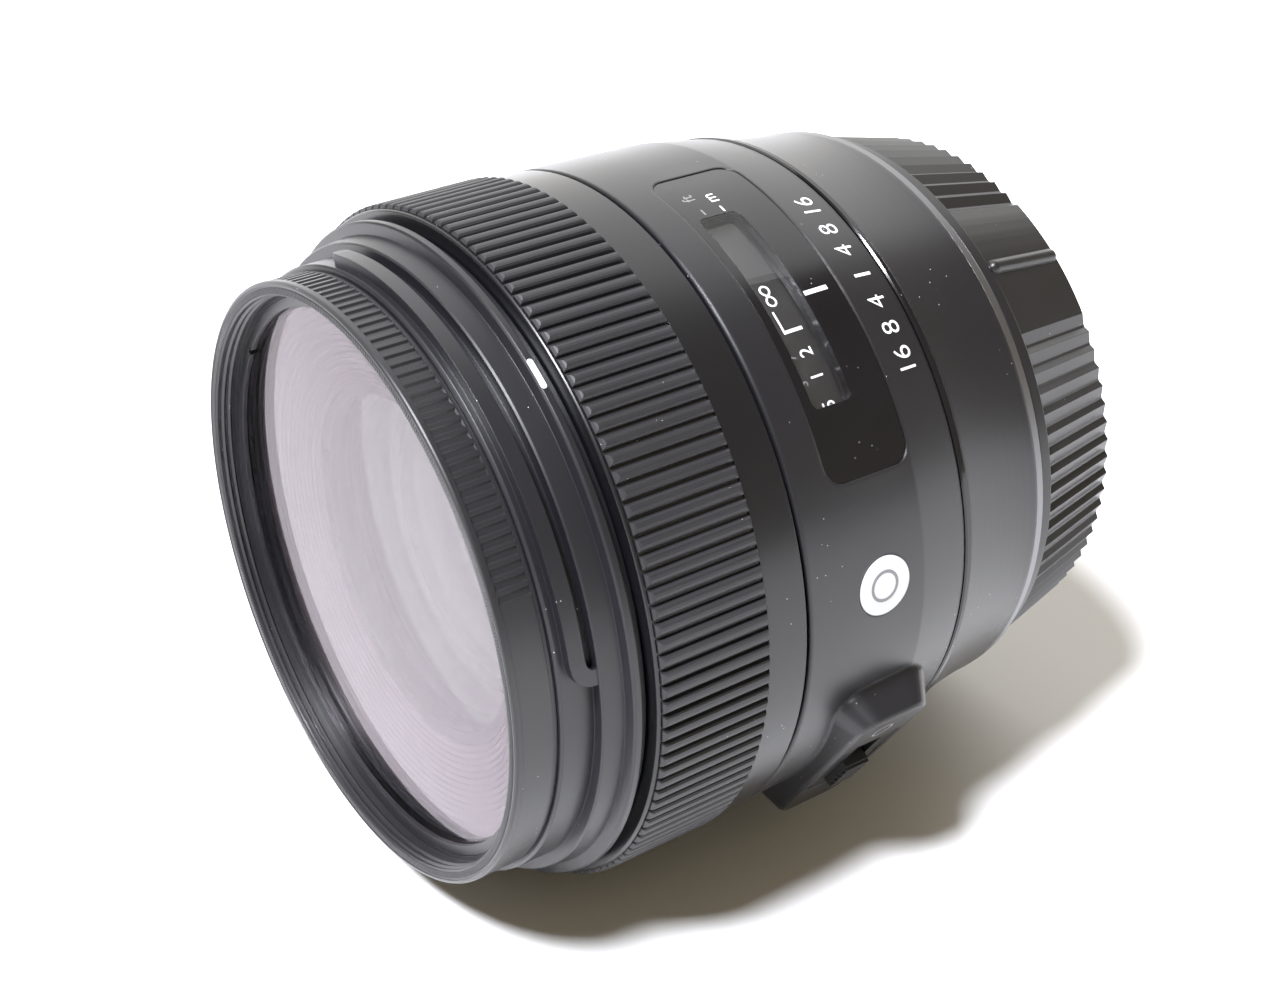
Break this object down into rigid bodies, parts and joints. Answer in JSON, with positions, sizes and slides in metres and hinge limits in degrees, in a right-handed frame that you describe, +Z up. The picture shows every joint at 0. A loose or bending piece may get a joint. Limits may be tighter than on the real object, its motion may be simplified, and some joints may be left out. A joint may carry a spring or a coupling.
{
  "type": "prime camera lens",
  "caption": "Autofocus prime camera lens lying on its side, with a protector filter on the front, a rear cap, a ribbed focus ring, a distance window and a focus mode switch.",
  "frame": {"origin": "centre of the mount flange's seating face, on the optical axis", "axes": "+Y along the optical axis towards the rear cap, so the front of the lens faces -Y; +Z up with the lens lying on its side; the distance window faces up and towards +X"},
  "size_m": [0.0757, 0.0794, 0.0742],
  "materials": {
    "barrel_black": "satin black stove enamel over alloy",
    "ring_black": "fine matt black, moulded",
    "front_barrel_black": "fine matt black, moulded",
    "grip_rubber": "matt black ribbed rubber",
    "gloss_black": "glossy black",
    "window_black": "smooth semi-gloss black",
    "window_clear": "clear moulded pane",
    "scale_drum": "matt black drum",
    "badge_white": "white enamel disc",
    "filter_black": "satin black anodised alloy",
    "filter_clear": "clear coated flat glass",
    "element_clear": "coated optical glass",
    "cell_black": "flat black paint on alloy",
    "baffle_black": "flat black ribbed light trap",
    "inner_alloy": "machined",
    "cam_brass": "machined brass",
    "motor_steel": "ground steel",
    "stator_bronze": "phosphor bronze",
    "blade_steel": "thin steel, dry black film",
    "mount_steel": "bright plated brass, turned",
    "contact_gold": "gold-plated pins",
    "contact_black": "black moulded block",
    "board_green": "solder-masked circuit board",
    "knob_black": "black moulded knob",
    "cap_black": "matt black moulded cap"
  },
  "bodies": {
    "barrel": {"front_barrel": "front_barrel_black", "front_baffle": "baffle_black", "front_cell": "cell_black", "front_retaining_ring": "cell_black", "front_element": "element_clear", "element_2": "element_clear", "element_3": "element_clear", "element_4": "element_clear", "main_barrel": "barrel_black", "window_plate": "window_black", "scale_window": "window_clear", "badge": "badge_white", "switch_plate": "ring_black", "trim_ring": "gloss_black", "inner_barrel": "inner_alloy", "motor_wave_spring": "motor_steel", "motor_stator": "stator_bronze", "motor_rotor": "motor_steel", "diaphragm_base": "cell_black", "diaphragm_cover": "cell_black", "aperture_motor": "motor_steel", "rear_barrel": "barrel_black", "main_board": "board_green", "mount_bayonet": "mount_steel", "mount_screws": "motor_steel", "contact_block": "contact_black", "contact_pins": "contact_gold", "rear_baffle": "baffle_black"},
    "focus_ring": {"focus_ring_sleeve": "ring_black", "focus_grip": "grip_rubber", "focus_drive_ring": "inner_alloy"},
    "roller_carrier": {"roller_carrier": "inner_alloy", "distance_scale_ring": "scale_drum", "focus_cam_ring": "cam_brass"},
    "roller_1": {"roller_1": "motor_steel"},
    "roller_2": {"roller_2": "motor_steel"},
    "roller_3": {"roller_3": "motor_steel"},
    "focus_group": {"focus_cell": "cell_black", "cam_followers": "cam_brass", "element_5": "element_clear", "element_6": "element_clear", "element_7": "element_clear", "element_8": "element_clear", "element_9": "element_clear"},
    "aperture_ring": {"aperture_drive_ring": "cam_brass"},
    "aperture_pinion": {"aperture_pinion": "cam_brass"},
    "mode_switch": {"switch_knob": "knob_black"},
    "filter": {"filter_frame": "filter_black", "filter_glass": "filter_clear", "filter_retaining_ring": "filter_black"},
    "rear_cap": {"rear_cap": "cap_black"},
    "aperture_blade_1": {"aperture_blade_1": "blade_steel"},
    "aperture_blade_2": {"aperture_blade_2": "blade_steel"},
    "aperture_blade_3": {"aperture_blade_3": "blade_steel"},
    "aperture_blade_4": {"aperture_blade_4": "blade_steel"},
    "aperture_blade_5": {"aperture_blade_5": "blade_steel"},
    "aperture_blade_6": {"aperture_blade_6": "blade_steel"},
    "aperture_blade_7": {"aperture_blade_7": "blade_steel"},
    "aperture_blade_8": {"aperture_blade_8": "blade_steel"},
    "aperture_blade_9": {"aperture_blade_9": "blade_steel"}
  },
  "joints": [
    {"name": "focus_turn", "type": "hinge", "parent": "barrel", "child": "focus_ring", "pos_m": [0, -0.045, 0], "axis": [0, -1, 0], "range_deg": [0, 80]},
    {"name": "carrier_turn", "type": "hinge", "parent": "barrel", "child": "roller_carrier", "pos_m": [0, -0.018, 0], "axis": [0, -1, 0], "range_deg": [0, 40]},
    {"name": "roller_1_spin", "type": "hinge", "parent": "roller_carrier", "child": "roller_1", "pos_m": [0.00078, -0.01805, -0.03209], "axis": [0.0244, 0, -0.9997], "range_deg": [-870, 0]},
    {"name": "roller_2_spin", "type": "hinge", "parent": "roller_carrier", "child": "roller_2", "pos_m": [0.0274, -0.01805, 0.01672], "axis": [0.8536, 0, 0.521], "range_deg": [-870, 0]},
    {"name": "roller_3_spin", "type": "hinge", "parent": "roller_carrier", "child": "roller_3", "pos_m": [-0.02818, -0.01805, 0.01537], "axis": [-0.878, 0, 0.4787], "range_deg": [-870, 0]},
    {"name": "focus_travel", "type": "slide", "parent": "barrel", "child": "focus_group", "axis": [0, -1, 0], "range_m": [0, 0.0045]},
    {"name": "aperture_turn", "type": "hinge", "parent": "barrel", "child": "aperture_ring", "pos_m": [0, -0.0303, 0], "axis": [0, -1, 0], "range_deg": [0, 18]},
    {"name": "blade_1_turn", "type": "hinge", "parent": "barrel", "child": "aperture_blade_1", "pos_m": [0.01624, -0.0325, -0.01079], "axis": [0, -1, 0], "range_deg": [0, 33]},
    {"name": "blade_2_turn", "type": "hinge", "parent": "barrel", "child": "aperture_blade_2", "pos_m": [0.01938, -0.0325, 0.00217], "axis": [0, -1, 0], "range_deg": [0, 33]},
    {"name": "blade_3_turn", "type": "hinge", "parent": "barrel", "child": "aperture_blade_3", "pos_m": [0.01345, -0.0325, 0.01412], "axis": [0, -1, 0], "range_deg": [0, 33]},
    {"name": "blade_4_turn", "type": "hinge", "parent": "barrel", "child": "aperture_blade_4", "pos_m": [0.00122, -0.0325, 0.01946], "axis": [0, -1, 0], "range_deg": [0, 33]},
    {"name": "blade_5_turn", "type": "hinge", "parent": "barrel", "child": "aperture_blade_5", "pos_m": [-0.01157, -0.0325, 0.0157], "axis": [0, -1, 0], "range_deg": [0, 33]},
    {"name": "blade_6_turn", "type": "hinge", "parent": "barrel", "child": "aperture_blade_6", "pos_m": [-0.01895, -0.0325, 0.00459], "axis": [0, -1, 0], "range_deg": [0, 33]},
    {"name": "blade_7_turn", "type": "hinge", "parent": "barrel", "child": "aperture_blade_7", "pos_m": [-0.01747, -0.0325, -0.00867], "axis": [0, -1, 0], "range_deg": [0, 33]},
    {"name": "blade_8_turn", "type": "hinge", "parent": "barrel", "child": "aperture_blade_8", "pos_m": [-0.00781, -0.0325, -0.01787], "axis": [0, -1, 0], "range_deg": [0, 33]},
    {"name": "blade_9_turn", "type": "hinge", "parent": "barrel", "child": "aperture_blade_9", "pos_m": [0.00551, -0.0325, -0.01871], "axis": [0, -1, 0], "range_deg": [0, 33]},
    {"name": "pinion_spin", "type": "hinge", "parent": "barrel", "child": "aperture_pinion", "pos_m": [0, -0.031, -0.0248], "axis": [0, -1, 0], "range_deg": [-206, 0]},
    {"name": "switch_slide", "type": "slide", "parent": "barrel", "child": "mode_switch", "axis": [0.5534, 0, 0.8329], "range_m": [0, 0.004]},
    {"name": "filter_off", "type": "slide", "parent": "barrel", "child": "filter", "axis": [0, -1, 0], "range_m": [0, 0.03]},
    {"name": "cap_off", "type": "slide", "parent": "barrel", "child": "rear_cap", "axis": [0, 1, 0], "range_m": [0, 0.03]}
  ],
  "couplings": [
    {"joint": "carrier_turn", "follows": "focus_turn", "ratio": 0.5},
    {"joint": "focus_travel", "follows": "focus_turn", "m_per_rad": 0.003222},
    {"joint": "roller_1_spin", "follows": "focus_turn", "ratio": -10.7},
    {"joint": "roller_2_spin", "follows": "focus_turn", "ratio": -10.7},
    {"joint": "roller_3_spin", "follows": "focus_turn", "ratio": -10.7},
    {"joint": "blade_1_turn", "follows": "aperture_turn", "ratio": 1.8222},
    {"joint": "blade_2_turn", "follows": "aperture_turn", "ratio": 1.8222},
    {"joint": "blade_3_turn", "follows": "aperture_turn", "ratio": 1.8222},
    {"joint": "blade_4_turn", "follows": "aperture_turn", "ratio": 1.8222},
    {"joint": "blade_5_turn", "follows": "aperture_turn", "ratio": 1.8222},
    {"joint": "blade_6_turn", "follows": "aperture_turn", "ratio": 1.8222},
    {"joint": "blade_7_turn", "follows": "aperture_turn", "ratio": 1.8222},
    {"joint": "blade_8_turn", "follows": "aperture_turn", "ratio": 1.8222},
    {"joint": "blade_9_turn", "follows": "aperture_turn", "ratio": 1.8222},
    {"joint": "pinion_spin", "follows": "aperture_turn", "ratio": -11.4}
  ]
}
